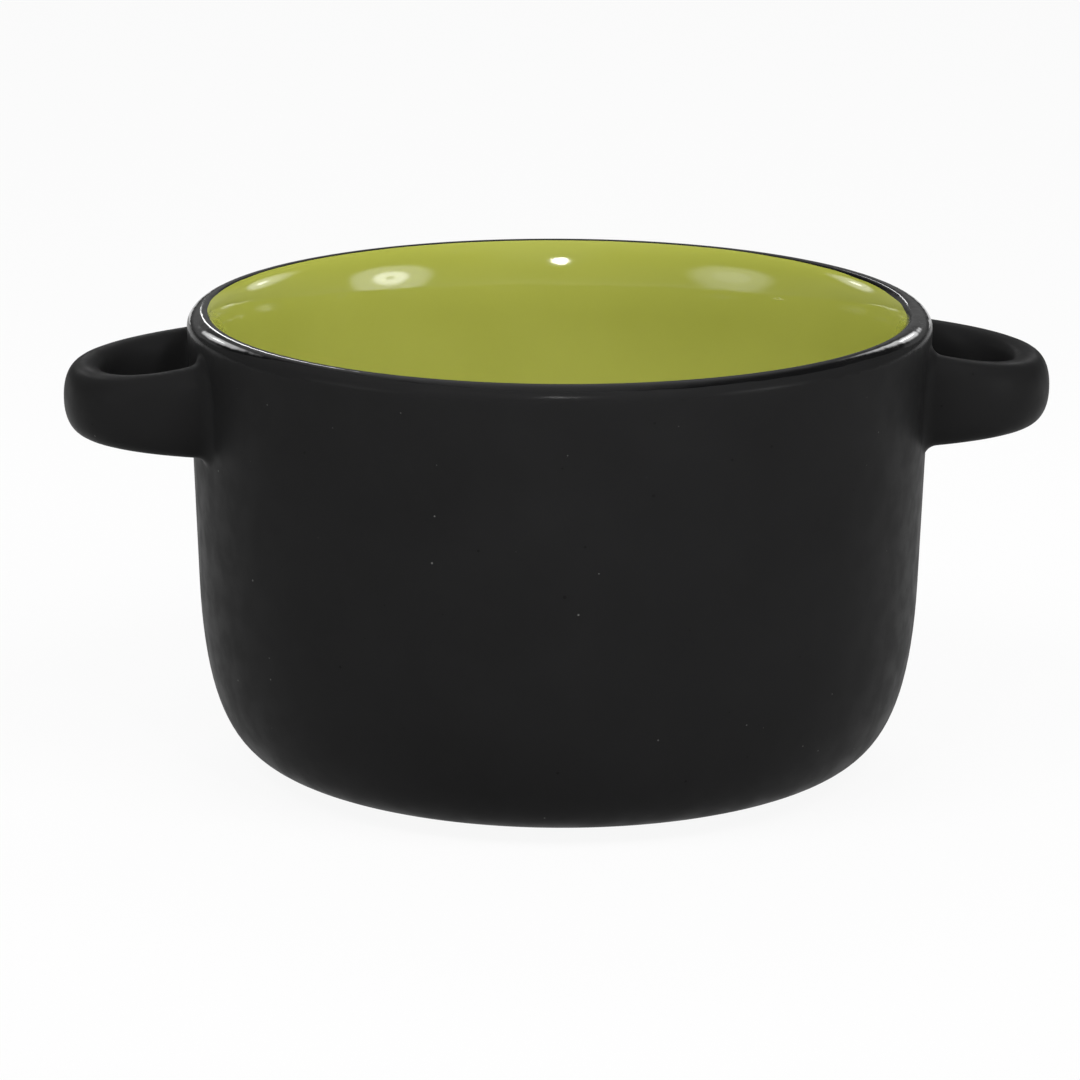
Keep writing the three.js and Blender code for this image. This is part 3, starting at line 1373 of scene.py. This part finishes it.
    def facing(self, name: str, azimuth: float, elevation: float, distance: float, **rest: object) -> Lamp:
        """A lamp that faces the bowl and lies level.

        Args:
            name: Name of the lamp.
            azimuth: Degrees to the right of the front, as seen from the bowl.
            elevation: Degrees above the level.
            distance: Distance from the bowl.
            rest: The other values of the lamp.

        Returns:
            The lamp.
        """
        az, el = math.radians(azimuth), math.radians(elevation)
        way = Vector((math.sin(az) * math.cos(el), -math.cos(az) * math.cos(el), math.sin(el)))
        level = Vector((math.cos(az), math.sin(az), 0.0))
        return Lamp(name, self.lamp_target + way * distance, level, **rest)

    def bar(self, name: str, start: Vector, end: Vector, width: float, **rest: object) -> Lamp:
        """A long lamp between two places.

        Args:
            name: Name of the lamp.
            start: One end.
            end: The other end.
            width: Width of its face.
            rest: The other values of the lamp.

        Returns:
            The lamp.
        """
        return Lamp(name, (start + end) / 2.0, end - start, ((end - start).length, width), **rest)

    def lamps(self) -> None:
        """Hang all the lamps."""
        far = 1.3
        umbrella = {"size": (0.86, 0.66), "power": 4.8, "gain": 2.4, "core": 0.23, "hollow": 0.06}
        softbox = {"size": (0.95, 0.62), "power": 3.3, "fade": 0.55, "gain": 0.5, "core": 0.22}
        fill = {"size": (0.80, 0.60), "mirrored": False}
        soft_bar = {"fade": 0.5, "gain": 2.0, "core": 0.13}
        right_near, right_far = Vector((0.093, 0.064, 0.151)), Vector((0.168, 0.202, 0.129))
        left_near, left_far = Vector((-0.152, 0.128, 0.207)), Vector((-0.153, 0.270, 0.146))
        for lamp in (
            self.facing("right_umbrella", 58.0, 12.0, far, **umbrella),
            self.facing("left_softbox", -70.0, 14.0, far, **softbox),
            self.bar("right_bar", right_near, right_far, 0.075, power=0.085, **soft_bar),
            self.bar("left_bar", left_near, left_far, 0.090, power=0.105, **soft_bar),
            self.facing("rear_strip", -174.5, 22.0, far, size=(0.057, 0.60), power=0.55),
            self.facing("front_spot", -5.0, 31.0, 0.181, size=(0.017, 0.040), power=0.125),
            self.facing("right_fill", 40.0, 52.0, far, power=12.4, **fill),
            self.facing("left_fill", -50.0, 52.0, far, power=12.4, **fill),
            self.facing("rear_fill", 175.0, 50.0, far, power=6.0, **fill),
        ):
            self.lamp(lamp)

    def build(self) -> None:
        """Set up the whole studio."""
        self.camera()
        self.floor()
        self.world()
        self.lamps()
        bpy.context.scene.view_settings.view_transform = "Standard"


def dress_nodes(names: Iterable[str], finish: bpy.types.Material) -> None:
    """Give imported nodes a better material.

    Args:
        names: Names of the nodes.
        finish: Their material.
    """
    for name in names:
        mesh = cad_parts[name].data
        mesh.materials.clear()
        mesh.materials.append(finish)
        LOG.info("%s: packed node with a new finish", name)


def main() -> None:
    """Build the bowl and its studio, and report every piece."""
    logging.basicConfig(level=logging.INFO, format="%(message)s")
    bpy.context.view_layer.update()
    bowl = BowlSection()
    effects = Effects(ripple_group(), speck_group())
    satin = SatinBlack("satin_black_glaze", effects).make()
    gloss = GlossBlack("gloss_black_glaze", effects).make()
    green = LimeGreen("lime_green_glaze", effects).make()
    clay = BareClay("bare_stoneware", effects).make()
    slip = BareClay("joining_slip", effects, (0.27, 0.19, 0.13, 1.0), (0.37, 0.28, 0.19, 1.0)).make()
    coat = OutsideCoat(bowl, handle=HandleLoop(bowl))
    settle(coat.build(), satin, "satin_black_glaze", "outside_glaze")
    settle(RimBand(bowl).build(), gloss, "gloss_black_glaze", "rim_glaze")
    settle(GreenLiner(bowl).build(), green, "green_glaze", "liner_glaze")
    settle(ClayBody(bowl).build(), clay, "stoneware", "bowl_body")
    sides = ("right", "left")
    dress_nodes([f"{side}_handle" for side in sides], clay)
    dress_nodes([f"{side}_{end}_slip" for side in sides for end in ("front", "rear")], slip)
    Studio().build()


if __name__ == "__main__":
    main()
